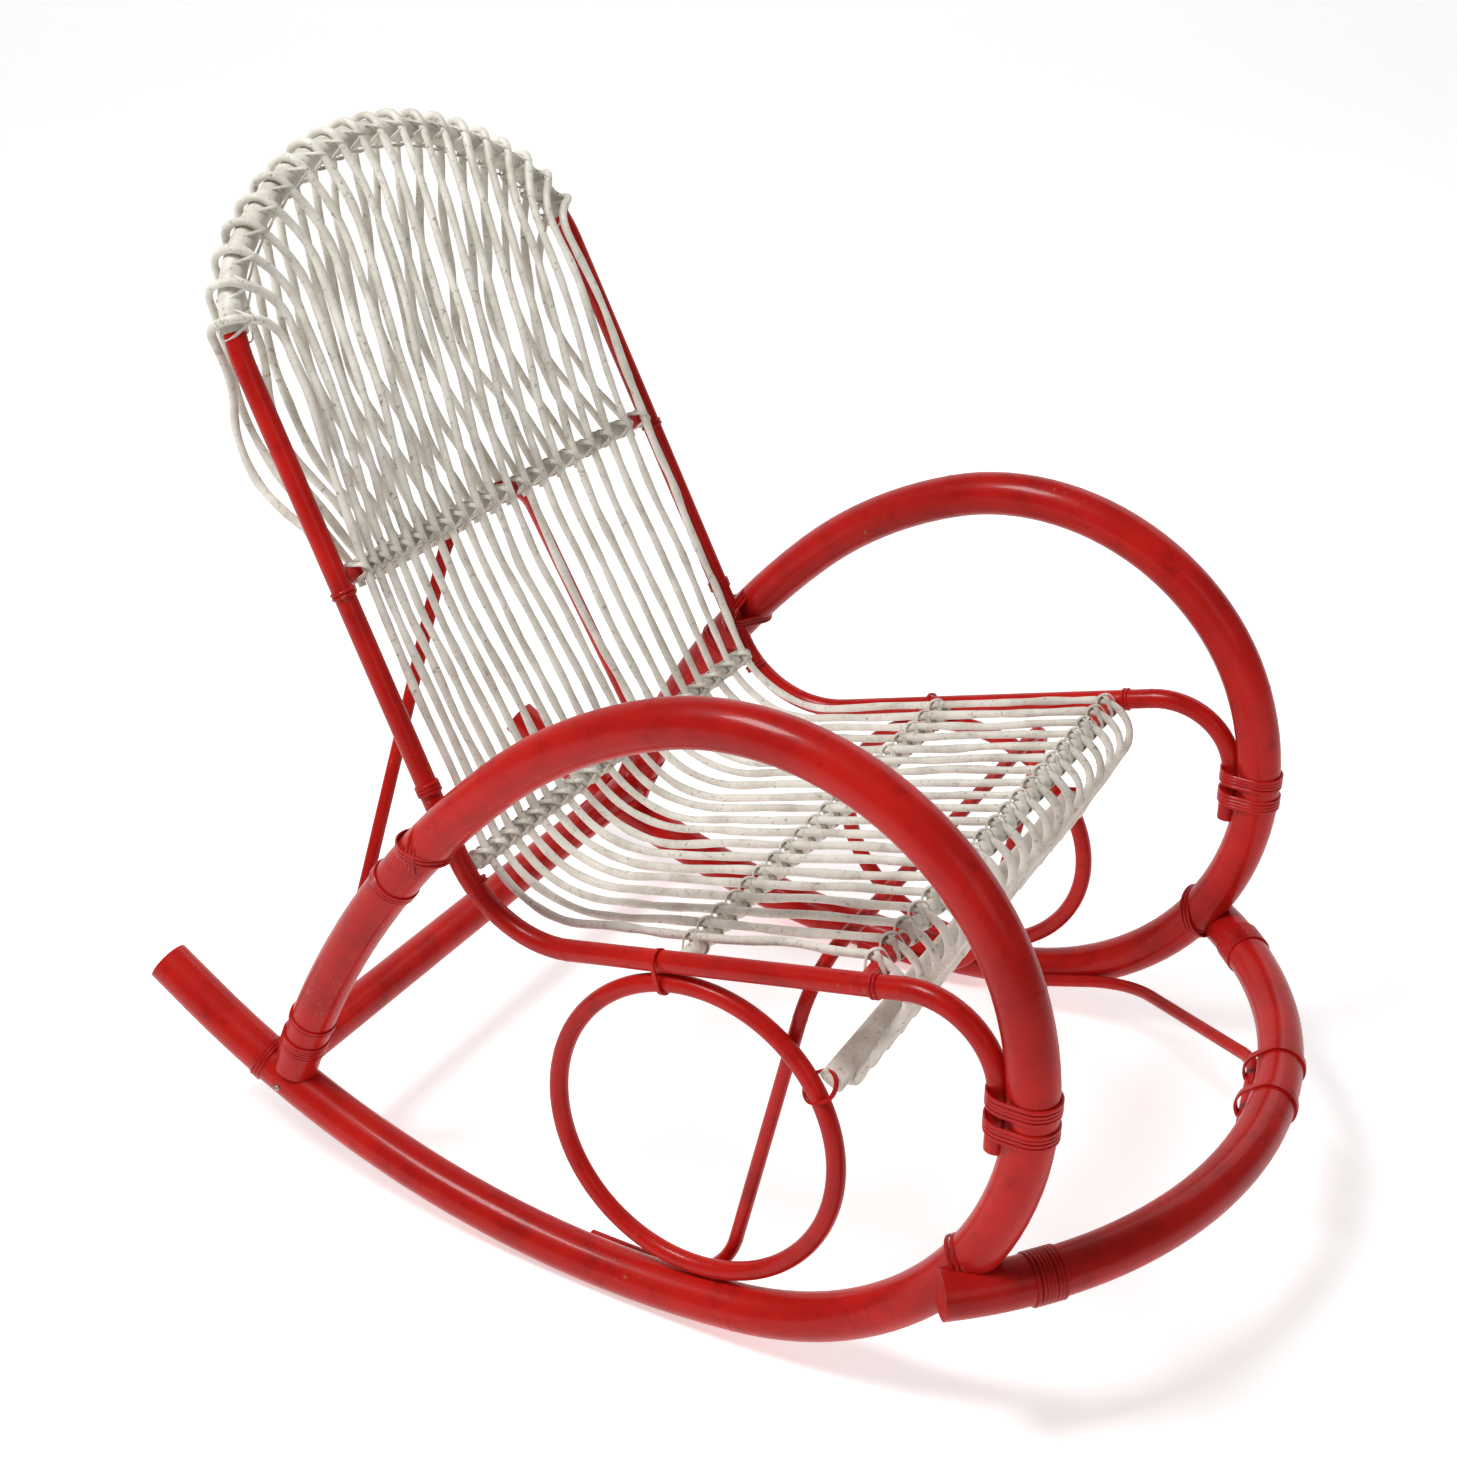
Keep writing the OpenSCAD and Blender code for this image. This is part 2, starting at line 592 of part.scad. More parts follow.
// Ties of a side ring to the rail above it and to the apron slat ahead of it
ring_tie_x = 521;
module ring_tie(side) {
    rail_z = crook_z + (ring_tie_x - crook_x) * tan(seat_rise);
    low = ring_z + sqrt(ring_radius * ring_radius - pow(ring_tie_x - ring_x, 2)) - ring_d / 2;
    high = rail_z + frame_d / 2;
    meet = [ring_x, ring_z] + (ring_radius + apron_t / 2) * [cos(apron_rise), sin(apron_rise)];
    rise = (apron_at[1] - ring_z) / ring_radius;
    meet_y = side * (ring_mid_y + (ring_top_y - ring_foot_y) / 2 * rise);
    tangent = [-sin(apron_rise), 0, cos(apron_rise)];
    outward = [cos(apron_rise), 0, sin(apron_rise)];
    color(red) {
        binding([ring_tie_x, side * 263, (high + low) / 2], [seat_along[0], 0, seat_along[1]], [0, 0, 1],
            high - low, frame_d);
        binding([meet[0], meet_y, meet[1]], tangent + [0, side, 0], outward, ring_d + apron_t + 5, 1.42 * ring_d);
    }
}

// Collars of cane on the posts and rails beside the ends of the cross bars
module bar_tie(side) {
    gap = bar_d / 2 + 4;
    back_s = back_bar_s - gap;
    front_run = front_bar_run + gap;
    bend = recline + lumbar_turn + 9;
    low = crook_centre - crook_radius * [cos(bend), sin(bend)];
    rail = [crook_x, crook_z] + front_run * seat_along;
    color(red) {
        coil(on_back(side * post_half(back_s), back_s, 0), slope_up, frame_d, 2);
        coil([low[0], side * (crook_half_w - 4), low[1]], [sin(bend), 0, -cos(bend)], frame_d, 2);
        coil([rail[0], side * rail_half(front_run), rail[1]], [seat_along[0], 0, seat_along[1]], frame_d, 2);
    }
}

// Small ties: the strut on the bow, and the hoop on the back bar
module strut_tie() {
    inside = bow_radius - 20;
    drop = 17;
    color(red) for (a = [5, 13]) {
        strut = [bow_centre_x + inside * cos(a), inside * sin(a), bow_z - drop];
        across = bow_point(a) - strut;
        binding((strut + bow_point(a)) / 2 + (pole_d - thin_d) / 4 * unit(across), [-sin(a), cos(a), 0], across,
            norm(across) + (pole_d + thin_d) / 2, pole_d, 2);
    }
}

module hoop_tie() {
    color(red) binding(on_back(0, back_bar_s, (bar_d - thin_d) / 4 - hoop_back / 2), [0, 1, 0], slope_out,
        hoop_back + (bar_d + thin_d) / 2, bar_d, 2);
}

// Domed nail heads on the outer faces of the loops, at the rear feet and the bow joints
module nails() {
    head_d = 6;
    for (side = [-1, 1], p = [along_loop(0, foot_on_rocker), along_loop(1, front_heading)])
        color(steel) translate([p[0], side * (p[1] + pole_d / 2), p[2]]) rotate([-90 * side, 0, 0])
            difference() {
                sphere(d = head_d, $fn = 32);
                translate([0, 0, -head_d]) cube(2 * head_d, center = true);
            }
}

// The rest pose turns about the rocking curve's centre, so the runners keep touching the floor.
module placed() {
    pivot = [loop_centre(0)[0], 0, loop_centre(0)[1]];
    floor_z = (loop_centre(0)[1] - rocker_radius) * cos(loop_lean) - pole_d / 2;
    translate([-mid_x, 0, -floor_z]) translate(pivot) rotate([0, rest_pitch, 0]) translate(-pivot) children();
}

bars = ["back_bar", "lumbar_bar", "mid_seat_bar", "front_seat_bar"];
bar_at = [back_bar, lumbar_bar, mid_bar, front_bar];
bar_half = [back_half, lumbar_half, mid_half, front_half];
bar_out = [
    [cos(recline), sin(recline)],
    [cos(recline + lumbar_turn), sin(recline + lumbar_turn)],
    seat_up,
    seat_up
];
sides = ["right", "left"];
function side_of(k) = 2 * k - 1;
strand_names = [for (i = [1:strand_count]) str("strand_", i)];

NODES = concat(
    [for (s = sides) str("side_loop_", s)],
    ["front_bow", "rear_stretcher", "seat_frame", "back_hoop", "seat_arch", "bow_strut"],
    [for (s = sides) str("side_ring_", s)],
    bars,
    ["apron_slat"],
    strand_names,
    [for (b = bars) str(b, "_lacing")],
    ["arch_wrap"],
    [for (k = ["rear", "bow", "rail", "arm"], s = sides) str(k, "_lashing_", s)],
    [for (k = ["ring", "bar"], s = sides) str(k, "_tie_", s)],
    ["strut_tie", "hoop_tie", "nails"]
);
node = "all";
function shown(name) = node == "all" || node == name;

for (k = [0, 1]) if (shown(str("side_loop_", sides[k]))) placed() color(red) side_loop(side_of(k));
if (shown("front_bow")) placed() color(red) front_bow();
if (shown("rear_stretcher")) placed() rear_stretcher();
if (shown("seat_frame")) placed() color(red) frame_pole(frame_d);
if (shown("back_hoop")) placed() color(red) back_hoop_pole();
if (shown("seat_arch")) placed() color(red) seat_arch_pole();
if (shown("bow_strut")) placed() color(red) bow_strut_pole();
for (k = [0, 1]) if (shown(str("side_ring_", sides[k]))) placed() color(red) side_ring_pole(side_of(k));
for (k = [0:3]) if (shown(bars[k])) placed() color(white)
    coped_bar(bar_at[k], bar_half[k], [bar_out[k][1], -bar_out[k][0]]);
if (shown("apron_slat")) placed() color(white) apron_slat();
for (i = [0:strand_count - 1]) if (shown(strand_names[i])) placed() color(white) strand_pole(i);
for (k = [0:3]) if (shown(str(bars[k], "_lacing"))) placed() color(white) lacing(k);
if (shown("arch_wrap")) placed() color(white) arch_sleeve();
for (k = [0, 1]) if (shown(str("rear_lashing_", sides[k]))) placed() rear_lashing(side_of(k));
for (k = [0, 1]) if (shown(str("bow_lashing_", sides[k]))) placed() bow_lashing(side_of(k));
for (k = [0, 1]) if (shown(str("rail_lashing_", sides[k]))) placed() rail_lashing(side_of(k));
for (k = [0, 1]) if (shown(str("arm_lashing_", sides[k]))) placed() arm_lashing(side_of(k));
for (k = [0, 1]) if (shown(str("ring_tie_", sides[k]))) placed() ring_tie(side_of(k));
for (k = [0, 1]) if (shown(str("bar_tie_", sides[k]))) placed() bar_tie(side_of(k));
if (shown("strut_tie")) placed() strut_tie();
if (shown("hoop_tie")) placed() hoop_tie();
if (shown("nails")) placed() nails();
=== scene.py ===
"""Looks for the rattan rocking chair: paint, woven strands, lacing, floor, light and camera."""

import json
import math

import bpy
from mathutils import Matrix, Vector, noise


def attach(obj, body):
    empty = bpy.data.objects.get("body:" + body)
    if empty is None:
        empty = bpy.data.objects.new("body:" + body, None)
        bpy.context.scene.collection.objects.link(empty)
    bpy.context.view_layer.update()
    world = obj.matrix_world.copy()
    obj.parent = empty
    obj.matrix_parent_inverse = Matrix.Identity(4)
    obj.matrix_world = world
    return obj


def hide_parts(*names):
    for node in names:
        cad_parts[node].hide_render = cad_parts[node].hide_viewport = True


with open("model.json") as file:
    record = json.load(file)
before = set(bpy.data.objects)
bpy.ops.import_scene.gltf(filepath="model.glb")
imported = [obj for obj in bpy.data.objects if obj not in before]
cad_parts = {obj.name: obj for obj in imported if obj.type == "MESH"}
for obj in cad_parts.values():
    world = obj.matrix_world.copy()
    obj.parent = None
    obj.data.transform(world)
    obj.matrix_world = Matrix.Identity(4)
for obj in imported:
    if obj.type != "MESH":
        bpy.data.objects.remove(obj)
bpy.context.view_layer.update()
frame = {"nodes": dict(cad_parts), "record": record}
nodes = frame["nodes"]

# ---- The chair's own geometry, in millimetres, as in the CAD source ----

PIVOT = Vector((479.38, 0, 821.365))  # centre of the rocking curve
REST_PITCH = math.radians(-0.59)
SHIFT = Vector((-486.9, 0, 18.64))
RECLINE = math.radians(25.3)
SEAT_RISE = math.radians(14)
CROOK = Vector((348, 0, 264))
CROOK_RADIUS, CROOK_HALF = 100, 249
BACK_HALF, BACK_LENGTH, BACK_BAR_S = 236, 661, 330
CROWN_R, CORNER_R, ARCH_RUN = 320, 110, 269
POST_GAP, STRANDS, STRAND_D = 22, 20, 7.4
FRAME_D, BAR_D, WRAP_T, CANE_D = 18.5, 14, 1.4, 3.4
FRONT_RUN, SEAT_DEPTH, NOSE_RADIUS = 365, 470, 66
REAR_BULGE, FRONT_BULGE = 60, 24
NOSE_RUN, NOSE_BEND = 54, 30
BACK_CROWD, CROOK_CROWD = 54, 20
RING_X, RING_Z, RING_R = 555, 163.5, 130
APRON_W, APRON_T, APRON_TILT, APRON_RISE, APRON_HALF = 22, 10, 32, 35, 262
TRACK, LOOP_LEAN, POLE_D = 586, math.radians(2.4), 40
LOOP = [(820, 41.5), (280, 102), (235, 88.5), (430, 23), (900, 27)]
TAIL_LENGTH, TAIL_SLOPE, TAIL_RISE = 46, 32.5, 154.5

UP = Vector((-math.sin(RECLINE), 0, math.cos(RECLINE)))
OUT = Vector((math.cos(RECLINE), 0, math.sin(RECLINE)))
SEAT_ALONG = Vector((math.cos(SEAT_RISE), 0, math.sin(SEAT_RISE)))
SEAT_UP = Vector((-math.sin(SEAT_RISE), 0, math.cos(SEAT_RISE)))
LEFT = Vector((0, 1, 0))


def placed(p):
    """A point of the chair's own frame, in millimetres, as it stands in the scene, in metres."""
    return (Matrix.Rotation(REST_PITCH, 3, "Y") @ (p - PIVOT) + PIVOT + SHIFT) / 1000


def on_back(y, s, n):
    return CROOK + y * LEFT + s * UP + n * OUT


CROWN_HALF = math.asin((BACK_HALF - CORNER_R) / (CROWN_R - CORNER_R))
CROWN_RUN = CROWN_R * CROWN_HALF
CORNER_S = BACK_LENGTH - CROWN_R + (CROWN_R - CORNER_R) * math.cos(CROWN_HALF)
SIDE_CORNER_S = CORNER_S + CORNER_R * math.tan((math.pi / 2 - CROWN_HALF) / 2)


def arch_angle(run):
    run = abs(run)
    return run / CROWN_R if run < CROWN_RUN else CROWN_HALF + (run - CROWN_RUN) / CORNER_R


def arch_out(run):
    a = arch_angle(run)
    return math.copysign(math.sin(a), run), math.cos(a)


def arch_place(run):
    oy, os = arch_out(run)
    if abs(run) < CROWN_RUN:
        return CROWN_R * oy, BACK_LENGTH - CROWN_R + CROWN_R * os
    return math.copysign(BACK_HALF - CORNER_R, run) + CORNER_R * oy, CORNER_S + CORNER_R * os


def post_half(s):
    return CROOK_HALF + (BACK_HALF - CROOK_HALF) * s / SIDE_CORNER_S


def loop_y(z):
    return TRACK / 2 - z * math.tan(LOOP_LEAN)


NOSE_Z = CROOK.z + SEAT_DEPTH * math.tan(SEAT_RISE)
RAIL_END = loop_y(NOSE_Z - NOSE_RADIUS)
CROOK_REACH = CROOK_RADIUS * math.tan((math.pi / 2 + SEAT_RISE - RECLINE) / 2)
FRONT_BAR = CROOK + FRONT_RUN * SEAT_ALONG
HALF_BACK = post_half(BACK_BAR_S) - POST_GAP
HALF_CROOK = post_half(CROOK_REACH) - POST_GAP
HALF_FRONT = CROOK_HALF + (RAIL_END - CROOK_HALF) * FRONT_RUN * math.cos(SEAT_RISE) / SEAT_DEPTH - POST_GAP
HALF_APRON = APRON_HALF - POST_GAP

WRAP_R = FRAME_D / 2 + WRAP_T + STRAND_D / 2
OVER_BAR = (BAR_D + STRAND_D) / 2
rise = math.radians(APRON_RISE)
APRON_AT = Vector((RING_X, 0, RING_Z)) + (RING_R + 14.2) * Vector((math.cos(rise), 0, math.sin(rise)))
tilt = math.radians(APRON_TILT)
APRON_EDGE = APRON_AT + (APRON_W - APRON_T) / 2 * Vector((math.cos(tilt), 0, -math.sin(tilt)))


def rounded(corners, radii, step=7.0):
    """Points along a path of straights and tangent arcs; a radius of 0 takes the widest bend that fits."""
    path = [corners[0]]
    for a, b, c, r in zip(corners, corners[1:], corners[2:], radii[1:]):
        u, w = (b - a).normalized(), (c - b).normalized()
        angle = u.angle(w)
        if angle < 0.003:
            continue
        t = r * math.tan(angle / 2) if r else 0.49 * min((b - a).length, (c - b).length)
        r = t / math.tan(angle / 2)
        n = (w - w.dot(u) * u).normalized()
        centre = b - t * u + r * n
        count = max(3, int(r * angle / step) + 1)
        for k in range(count + 1):
            f = angle * k / count
            path.append(centre + r * (math.sin(f) * u - math.cos(f) * n))
    path.append(corners[-1])
    even = [path[0]]
    for a, b in zip(path, path[1:]):
        n = max(1, round((b - a).length / step))
        even += [a.lerp(b, k / n) for k in range(1, n + 1)]
    return even


def strand_u(i):
    return (2 * i - (STRANDS - 1)) / (STRANDS - 1)


def across_back(u):
    return u * HALF_BACK - BACK_CROWD * (1 - u * u)


def across_crook(u):
    return u * HALF_CROOK - CROOK_CROWD * (1 - u * u)


CORNER_RUN = OVER_BAR * math.tan((math.pi / 2 + SEAT_RISE - RECLINE) / 2)


def across(end, u, run):
    """A strand's place across the chair, at a run from the seat corner up the back or along the seat."""
    far, length = (across_back(u), BACK_BAR_S) if end == "back" else (u * HALF_FRONT, FRONT_RUN + NOSE_RUN)
    return across_crook(u) + (far - across_crook(u)) * (run - CORNER_RUN) / (length - CORNER_RUN)


def strand_corners(i):
    u = strand_u(i)
    run = u * ARCH_RUN
    oy, os = arch_out(run)
    ty, ts = arch_place(run)
    yb, yc, yf, ya = across_back(u), across_crook(u), u * HALF_FRONT, u * HALF_APRON
    inward = 18 + 27 * os
    ry, rs = ty + WRAP_R * oy, ts + WRAP_R * os
    fy, fs = ty - inward * oy, ts - inward * os
    dy, ds = ty - 8 * oy, ts - 30 - 20 * os
    s_mid = 0.55 * fs + 0.45 * BACK_BAR_S
    turn = (math.pi / 2 + SEAT_RISE - RECLINE) / 2
    bis = Vector((math.cos(RECLINE) - math.sin(SEAT_RISE), 0, math.sin(RECLINE) + math.cos(SEAT_RISE))).normalized()
    crook = CROOK + OVER_BAR / math.cos(turn) * bis
    front = FRONT_BAR + OVER_BAR * SEAT_UP + NOSE_RUN * SEAT_ALONG
    wrap = (APRON_T + STRAND_D) / 2
    gap = APRON_EDGE - front
    a = math.atan2(gap.z, gap.x) + math.asin(wrap / gap.length)
    line, out = Vector((math.cos(a), 0, math.sin(a))), Vector((-math.sin(a), 0, math.cos(a)))
    under = APRON_EDGE + wrap * (out + line)
    end = under - 16 * out
    corners = [
        on_back(yb, BACK_BAR_S - OVER_BAR - 4, -OVER_BAR),
        on_back(yb, BACK_BAR_S, -OVER_BAR),
        on_back((dy + yb) / 2, s_mid, -REAR_BULGE),
        on_back(dy, ds, -REAR_BULGE * 0.6),
        on_back(ry, rs, -WRAP_R),
        on_back(ry, rs, WRAP_R),
        on_back(fy, fs, WRAP_R + 6),
        on_back((fy + yb) / 2, s_mid, FRONT_BULGE),
        on_back(yb, BACK_BAR_S, OVER_BAR),
        Vector((crook.x, yc, crook.z)),
        Vector((front.x, yf, front.z)),
        Vector((under.x, ya, under.z)),
        Vector((end.x, ya, end.z)),
    ]
    radii = [0, 0, 0, 0, WRAP_R, WRAP_R, 0, 0, 0, CROOK_RADIUS - OVER_BAR, NOSE_BEND, wrap, 0]
    return corners, radii


# ---- Materials ----


class Look:
    """A node material around one Principled shader."""

    def __init__(self, name):
        self.material = bpy.data.materials.new(name)
        self.material.use_nodes = True
        self.tree = self.material.node_tree
        self.shader = self.tree.nodes["Principled BSDF"]
        self.place = self.node("ShaderNodeTexCoord").outputs["Object"]

    def node(self, kind, **inputs):
        made = self.tree.nodes.new(kind)
        for key, value in inputs.items():
            self.feed(made.inputs[key.replace("_", " ")], value)
        return made

    def feed(self, socket, value):
        if isinstance(value, bpy.types.NodeSocket):
            self.tree.links.new(value, socket)
        else:
            socket.default_value = value

    def noise(self, scale, detail=3.0, roughness=0.5, place=None):
        made = self.node("ShaderNodeTexNoise", Scale=scale, Detail=detail, Roughness=roughness)
        self.tree.links.new(place or self.place, made.inputs["Vector"])
        return made.outputs["Fac"]

    def ramp(self, fac, low, high):
        made = self.node("ShaderNodeMapRange", Value=fac)
        made.inputs["From Min"].default_value = low
        made.inputs["From Max"].default_value = high
        return made.outputs["Result"]

    def span(self, fac, low, high):
        made = self.node("ShaderNodeMapRange", Value=fac)
        made.inputs["To Min"].default_value = low
        made.inputs["To Max"].default_value = high
        return made.outputs["Result"]

    def times(self, a, b):
        made = self.tree.nodes.new("ShaderNodeMath")
        made.operation = "MULTIPLY"
        self.feed(made.inputs[0], a)
        self.feed(made.inputs[1], b)
        return made.outputs["Value"]

    def mix(self, fac, a, b):
        made = self.tree.nodes.new("ShaderNodeMix")
        made.data_type = "RGBA"
        self.feed(made.inputs["Factor"], fac)
        self.feed(made.inputs[6], a)
        self.feed(made.inputs[7], b)
        return made.outputs[2]

    def bump(self, height, strength, distance, after=None):
        made = self.node("ShaderNodeBump", Height=height, Strength=strength, Distance=distance)
        if after:
            self.tree.links.new(after, made.inputs["Normal"])
        return made.outputs["Normal"]

    def finish(self, colour, roughness, normal, **constants):
        self.feed(self.shader.inputs["Base Color"], colour)
        self.feed(self.shader.inputs["Roughness"], roughness)
        self.feed(self.shader.inputs["Normal"], normal)
        for key, value in constants.items():
            self.shader.inputs[key.replace("_", " ")].default_value = value
        return self.material


def red_paint(name, bright, dark, lump):
    """Glossy brush-painted red with a few small chips that show the cane."""
    k = Look(name)
    tone = k.mix(k.ramp(k.noise(9, 5, 0.6), 0.34, 0.66), dark, bright)
    grime = k.times(k.ramp(k.noise(34, 5, 0.7), 0.52, 0.72), 0.5)
    tone = k.mix(grime, tone, tuple(0.42 * v for v in dark[:3]) + (1,))
    cluster = k.ramp(k.noise(6.5, 2), 0.60, 0.66)
    chip = k.times(k.ramp(k.noise(190, 4, 0.6), 0.63, 0.66), cluster)
    cane = k.mix(k.noise(60), (0.42, 0.20, 0.06, 1), (0.20, 0.07, 0.025, 1))
    colour = k.mix(chip, tone, cane)
    rough = k.mix(chip, k.mix(k.noise(30, 5, 0.6), (0.20, 0.20, 0.20, 1), (0.46, 0.46, 0.46, 1)), (0.7, 0.7, 0.7, 1))
    normal = k.bump(k.noise(lump, 3), 0.45, 0.0014)
    normal = k.bump(k.noise(300, 3), 0.22, 0.0004, normal)
    normal = k.bump(chip, -0.5, 0.0006, normal)
    return k.finish(colour, rough, normal, Specular_IOR_Level=0.12, Coat_Weight=0.13, Coat_Roughness=0.09)


def white_paint(name, bright, dirt, speck, red_beyond=None):
    """Creamy paint on cane, with grey-brown dirt in blotches and fine dark cracks.

    Beyond red_beyond metres from the middle, a bar is painted red like the frame."""
    k = Look(name)
    blotch = k.ramp(k.noise(26, 5, 0.65), 0.40, 0.72)
    tone = k.mix(k.times(blotch, 0.7), bright, dirt)
    crack = k.ramp(k.noise(speck, 5, 0.7), 0.58, 0.70)
    colour = k.mix(k.times(crack, 0.8), tone, (0.15, 0.105, 0.075, 1))
    rough = k.mix(blotch, (0.42, 0.42, 0.42, 1), (0.66, 0.66, 0.66, 1))
    if red_beyond:
        y = k.node("ShaderNodeSeparateXYZ", Vector=k.place).outputs["Y"]
        edge = k.node("ShaderNodeMath", Value=y)
        edge.operation = "ABSOLUTE"
        ragged = k.node("ShaderNodeMath")
        k.feed(ragged.inputs[0], edge.outputs["Value"])
        k.feed(ragged.inputs[1], k.span(k.noise(90, 3), -0.012, 0.012))
        colour = k.mix(k.ramp(ragged.outputs["Value"], red_beyond, red_beyond + 0.002), colour, (0.50, 0.012, 0.009, 1))
    normal = k.bump(k.noise(150, 4), 0.5, 0.0007)
    return k.finish(colour, rough, normal, Specular_IOR_Level=0.35, Coat_Weight=0.1, Coat_Roughness=0.3)


def nail_metal():
    k = Look("nail_metal")
    stain = k.ramp(k.noise(400, 3), 0.4, 0.7)
    colour = k.mix(stain, (0.42, 0.40, 0.38, 1), (0.22, 0.12, 0.07, 1))
    rough = k.mix(stain, (0.3, 0.3, 0.3, 1), (0.7, 0.7, 0.7, 1))
    return k.finish(colour, rough, k.bump(k.noise(300), 0.3, 0.0003), Metallic=0.85)


looks = {
    "red_rattan": red_paint("red_pole_paint", (0.52, 0.012, 0.008, 1), (0.36, 0.007, 0.005, 1), 16),
    "red_cane": red_paint("red_cane_paint", (0.50, 0.012, 0.009, 1), (0.32, 0.006, 0.005, 1), 60),
    "white_rattan": white_paint("white_strand_paint", (0.80, 0.77, 0.69, 1), (0.40, 0.35, 0.28, 1), 170),
    "white_cane": white_paint("white_lace_paint", (0.74, 0.71, 0.63, 1), (0.30, 0.26, 0.20, 1), 210),
    "nail_steel": nail_metal(),
}
red_ended = white_paint("white_bar_paint", (0.80, 0.77, 0.69, 1), (0.40, 0.35, 0.28, 1), 170, 0.205)
for row in frame["record"]["subparts"]:
    look = red_ended if row["node"] in ("back_bar", "front_seat_bar") else looks[row["material_slot"]]
    for held in nodes[row["node"]].material_slots:
        held.material = look


# ---- Woven strands and lacing ----


def tube(name, paths, radius, look, closed=False, swell=0.0):
    """A piece made of round strands along the paths, in metres, whose thickness varies a little."""
    curve = bpy.data.curves.new(name, "CURVE")
    curve.dimensions = "3D"
    curve.bevel_depth = radius
    curve.bevel_resolution = 3
    curve.resolution_u = 3
    for path in paths:
        spline = curve.splines.new("POLY")
        spline.points.add(len(path) - 1)
        spline.use_cyclic_u = closed
        for point, p in zip(spline.points, path):
            point.co = (*p, 1)
            point.radius = 1 + swell * noise.noise(p * 40)
    curve.use_fill_caps = not closed
    piece = bpy.data.objects.new(name, curve)
    bpy.context.scene.collection.objects.link(piece)
    curve.materials.append(looks[look])
    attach(piece, "root")
    return piece


def freedom(p):
    """0 where a strand is tied to a bar or lies on the arch, rising to 1 well away from them."""
    bars = [
        on_back(0, BACK_BAR_S, 0),
        FRONT_BAR,
        APRON_EDGE,
        CROOK + 195 * SEAT_ALONG,
        CROOK + CROOK_REACH * SEAT_ALONG + CROOK_RADIUS * (SEAT_UP - OUT) * 0.98,
    ]
    near = min((Vector((p.x, 0, p.z)) - b).length for b in bars)
    arch = min((p - on_back(*arch_place(ARCH_RUN * k / 12), 0)).length for k in range(-13, 14))
    reach = min(near, arch) - 18
    t = max(0.0, min(1.0, reach / 60))
    return t * t * (3 - 2 * t)


def woven(i):
    """One strand's path with the slight waviness of real cane."""
    path = []
    for p in rounded(*strand_corners(i)):
        behind = (p - CROOK).dot(OUT) < -8
        size = 9.0 if behind else 3.2
        drift = noise.noise_vector(p * 0.011 + Vector((i * 7.3, 0, 0)))
        path.append(placed(p + drift * size * freedom(p)))
    return path


for i in range(STRANDS):
    strand = tube("woven_strand_%02d" % (i + 1), [woven(i)], STRAND_D / 2000, "white_rattan", swell=0.22)
    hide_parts("strand_%d" % (i + 1))


def outline_round(ellipses, count=44):
    """The taut loop round ellipses (height, half width, half height), as [along, out] points evenly apart."""
    points = []
    for rise, wide, high in ellipses:
        points += [
            (wide * math.cos(a), rise + high * math.sin(a)) for a in (2 * math.pi * k / 64 for k in range(64))
        ]
    points.sort()
    hull = []
    for line in (points, points[::-1]):
        part = []
        for p in line:
            while len(part) > 1 and (
                (part[-1][0] - part[-2][0]) * (p[1] - part[-2][1]) - (part[-1][1] - part[-2][1]) * (p[0] - part[-2][0])
            ) <= 0:
                part.pop()
            part.append(p)
        hull += part[:-1]
    lengths = [math.dist(a, b) for a, b in zip(hull, hull[1:] + hull[:1])]
    total, even, k, walked = sum(lengths), [], 0, 0.0
    for n in range(count):
        want = total * n / count
        while walked + lengths[k] < want:
            walked += lengths[k]
            k += 1
        f = (want - walked) / lengths[k]
        a, b = hull[k], hull[(k + 1) % len(hull)]
        even.append((a[0] + f * (b[0] - a[0]), a[1] + f * (b[1] - a[1])))
    return even


def flat_loops(name, loops, width, thick, look, replaced):
    """Closed loops of flat cane. Each loop is its points in millimetres and the way across its width."""
    verts, faces = [], []
    shape = [(-0.5, 0.0), (-0.5, 0.6), (-0.3, 1.0), (0.3, 1.0), (0.5, 0.6), (0.5, 0.0)]
    for points, side in loops:
        side = side.normalized()
        count, base = len(points), len(verts)
        for k, p in enumerate(points):
            along = (points[(k + 1) % count] - points[k - 1]).normalized()
            out = along.cross(side)
            verts += [placed(p + a * width * side + b * thick * out) for a, b in shape]
        n = len(shape)
        for k in range(count):
            for j in range(n):
                a, b = base + k * n, base + (k + 1) % count * n
                faces.append((a + j, b + j, b + (j + 1) % n, a + (j + 1) % n))
    mesh = bpy.data.meshes.new(name)
    mesh.from_pydata(verts, [], faces)
    mesh.update()
    piece = bpy.data.objects.new(name, mesh)
    bpy.context.scene.collection.objects.link(piece)
    mesh.materials.append(looks[look])
    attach(piece, "root")
    if replaced:
        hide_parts(replaced)
    return piece


def crossed(centre, out, along, ellipses, tilt, lift):
    """Two crossing loops over a strand that runs "along", tied down to what lies under it."""
    across_way = out.cross(along)
    loops = []
    for k, side in enumerate((-1, 1)):
        way = math.cos(tilt) * along + side * math.sin(tilt) * across_way
        stretched = [
            (rise, half / abs(math.sin(tilt) if lies_along else math.cos(tilt)) + k * lift, half + k * lift)
            for rise, half, lies_along in ellipses
        ]
        points = [centre + a * way + b * out for a, b in outline_round(stretched)]
        loops.append((points, way.cross(out)))
    return loops


LACE_W, LACE_T, LACE_TILT = 4.2, 1.2, math.radians(40)
LUMBAR = RECLINE + math.radians(8)
LUMBAR_OUT = Vector((math.cos(LUMBAR), 0, math.sin(LUMBAR)))
CROOK_CENTRE = CROOK + CROOK_REACH * SEAT_ALONG + CROOK_RADIUS * SEAT_UP
MID_RUN = 195


